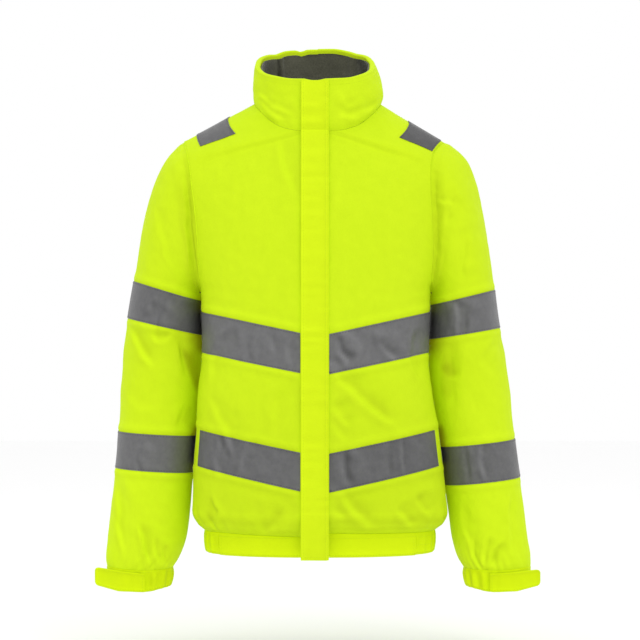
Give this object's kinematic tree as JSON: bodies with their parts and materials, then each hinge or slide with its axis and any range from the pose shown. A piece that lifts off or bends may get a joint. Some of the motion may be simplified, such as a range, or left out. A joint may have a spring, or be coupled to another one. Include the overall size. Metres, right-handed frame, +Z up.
{
  "type": "hi-vis work jacket",
  "caption": "Blouson work jacket with stand collar, storm flap, reflective tapes and elasticated hem and cuffs, filled out as when worn.",
  "frame": {"origin": "middle of the neck's base, at the height where the shoulder seams meet the collar", "axes": "+Z up, -Y to the front, +X to the wearer's left"},
  "size_m": [0.6643, 0.3015, 0.8171],
  "materials": {
    "shell_cloth": "fluorescent yellow coated woven polyester, soft sheen",
    "lining_cloth": "dark warm grey fleece lining",
    "reflective_tape": "grey glass-bead reflective tape, satin"
  },
  "bodies": {
    "root": {"front_r": "shell_cloth", "front_l": "shell_cloth", "back": "shell_cloth", "sleeve_r": "shell_cloth", "sleeve_l": "shell_cloth", "collar": "shell_cloth", "collar_lining": "lining_cloth", "storm_flap": "shell_cloth", "hem_band_r": "shell_cloth", "hem_band_l": "shell_cloth", "hem_band_back": "shell_cloth", "cuff_r": "shell_cloth", "cuff_l": "shell_cloth", "cuff_tab_r": "shell_cloth", "cuff_tab_l": "shell_cloth", "tape_chest_r": "reflective_tape", "tape_chest_l": "reflective_tape", "tape_chest_back": "reflective_tape", "tape_waist_r": "reflective_tape", "tape_waist_l": "reflective_tape", "tape_waist_back": "reflective_tape", "tape_upper_r": "reflective_tape", "tape_upper_l": "reflective_tape", "tape_lower_r": "reflective_tape", "tape_lower_l": "reflective_tape", "tape_shoulder_r": "reflective_tape", "tape_shoulder_l": "reflective_tape"}
  },
  "joints": []
}
